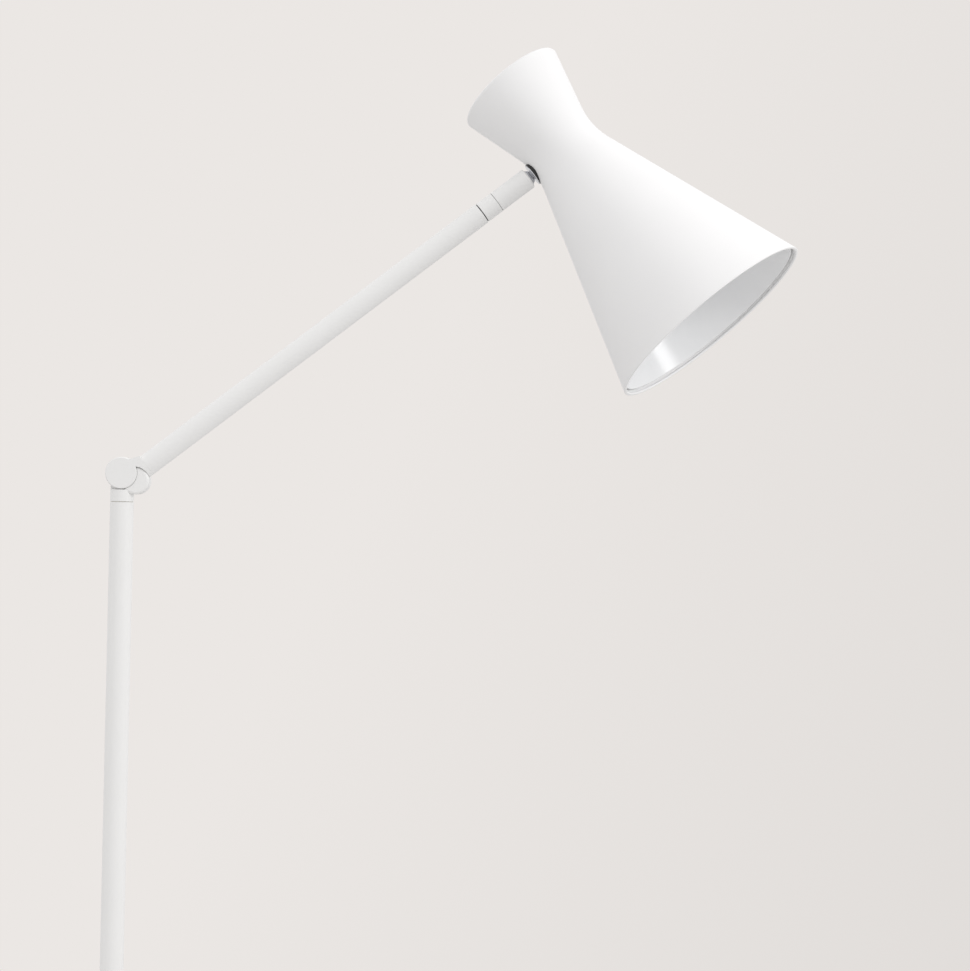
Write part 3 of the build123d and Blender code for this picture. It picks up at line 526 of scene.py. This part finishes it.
# %% Camera
seam_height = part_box("pole_upper")[1].z + 0.5 * MM
sensor_mm, lens_mm = 36.0, 85.36
camera_data = bpy.data.cameras.new("camera")
camera_data.sensor_width = sensor_mm
camera_data.lens = lens_mm
camera = bpy.data.objects.new("camera", camera_data)
bpy.context.scene.collection.objects.link(camera)
yaw, pitch, roll = (math.radians(v) for v in (0.04, 0.61, 1.18))
look = Vector((math.sin(yaw) * math.cos(pitch),
               math.cos(yaw) * math.cos(pitch),
               math.sin(pitch)))
level = Vector((math.cos(yaw), -math.sin(yaw), 0))
lift = level.cross(look)
right = level * math.cos(roll) + lift * math.sin(roll)
up = -level * math.sin(roll) + lift * math.cos(roll)
camera.matrix_world = (
    Matrix.Translation(Vector((0.293, -1.869, seam_height - 1 * MM)))
    @ Matrix((right, up, -look)).transposed().to_4x4()
)
bpy.context.scene.camera = camera

# %% [markdown]
# The floor is a plain pale disc, with only a slight cloudiness, so that nothing competes
# with the lamp. It also sends a little light up under the shade, as a real floor does.

# %% Floor
floor_material, tree, shader, place = new_material("plain_floor")
set_shader(shader, Roughness=0.7)
fleck = add_node(tree, "ShaderNodeTexNoise", None, {"Vector": place, "Scale": 3.0})
tone = add_node(tree, "ShaderNodeMix", {"data_type": "RGBA"}, {
    "Factor": fleck.outputs["Fac"], "A": linear("#CBCAC9"), "B": linear("#CFCECD")})
tree.links.new(tone.outputs["Result"], shader.inputs["Base Color"])
floor_mesh = bpy.data.meshes.new("floor")
shape = bmesh.new()
floor_radius = 3.2
bmesh.ops.create_circle(shape, cap_ends=True, segments=128, radius=floor_radius)
shape.to_mesh(floor_mesh)
shape.free()
floor_mesh.materials.append(floor_material)
floor = bpy.data.objects.new("floor", floor_mesh)
bpy.context.scene.collection.objects.link(floor)

# %% [markdown]
# The room's light is soft and comes mostly from above and a little from the right. A sky
# whose brightness changes slowly with direction gives just that: the dot product of the
# direction with the lit side goes from dark to bright. What the camera itself sees behind
# the lamp is a warm white wall with a background of its own. Painted shade makes that
# wall about a tenth darker towards the right and below.

# %% Room light
world = bpy.data.worlds.new("studio")
world.use_nodes = True
sky = world.node_tree
room = sky.nodes["Background"]
aim = add_node(sky, "ShaderNodeTexCoord")
side = add_node(sky, "ShaderNodeVectorMath", {"operation": "DOT_PRODUCT"})
sky.links.new(aim.outputs["Generated"], side.inputs[0])
side.inputs[1].default_value = (0.1, -0.15, 0.98)
glow = add_node(sky, "ShaderNodeMapRange", None, {
    "Value": side.outputs["Value"], "From Min": -1.0, "From Max": 1.0,
    "To Min": 0.47, "To Max": 1.13})
room.inputs["Color"].default_value = linear("#FFFEFE")
sky.links.new(glow.outputs["Result"], room.inputs["Strength"])
# Painted shade: the backdrop's strength falls from 1.0 to 0.9 towards the right and below.
toward_painted_shade = add_node(sky, "ShaderNodeVectorMath", {"operation": "DOT_PRODUCT"})
sky.links.new(aim.outputs["Generated"], toward_painted_shade.inputs[0])
toward_painted_shade.inputs[1].default_value = (0.9, 0.0, -0.44)
painted_wall_shade = add_node(sky, "ShaderNodeMapRange", None, {
    "Value": toward_painted_shade.outputs["Value"], "From Min": -0.05, "From Max": 0.3,
    "To Min": 1.0, "To Max": 0.9})
backdrop_with_painted_shade = add_node(sky, "ShaderNodeBackground", None, {
    "Color": linear("#EBE7E4"), "Strength": painted_wall_shade.outputs["Result"]})
path = add_node(sky, "ShaderNodeLightPath")
both = add_node(sky, "ShaderNodeMixShader")
sky.links.new(path.outputs["Is Camera Ray"], both.inputs[0])
sky.links.new(room.outputs["Background"], both.inputs[1])
sky.links.new(backdrop_with_painted_shade.outputs["Background"], both.inputs[2])
sky.links.new(both.outputs["Shader"], sky.nodes["World Output"].inputs["Surface"])
bpy.context.scene.world = world
bpy.context.scene.view_settings.view_transform = "Standard"

# %% [markdown]
# One soft box to the right and in front of the head shines into the mouth of the shade.
# It lights the near part of the reflector and leaves the far part in its own shadow.

# %% Soft box


def softbox(name, place, target, size, watts, colour="#FFFFFF"):
    """A square area light aimed at a point."""
    data = bpy.data.lights.new(name, "AREA")
    data.shape = "RECTANGLE"
    data.size, data.size_y = size
    data.energy = watts
    data.color = linear(colour)[:3]
    lamp = bpy.data.objects.new(name, data)
    lamp.location = place
    lamp.rotation_mode = "QUATERNION"
    lamp.rotation_quaternion = (Vector(target) - Vector(place)).to_track_quat("-Z", "Y")
    bpy.context.scene.collection.objects.link(lamp)
    return lamp


softbox("key", (2.4, -0.9, 1.9), waist, (0.7, 0.7), 11)
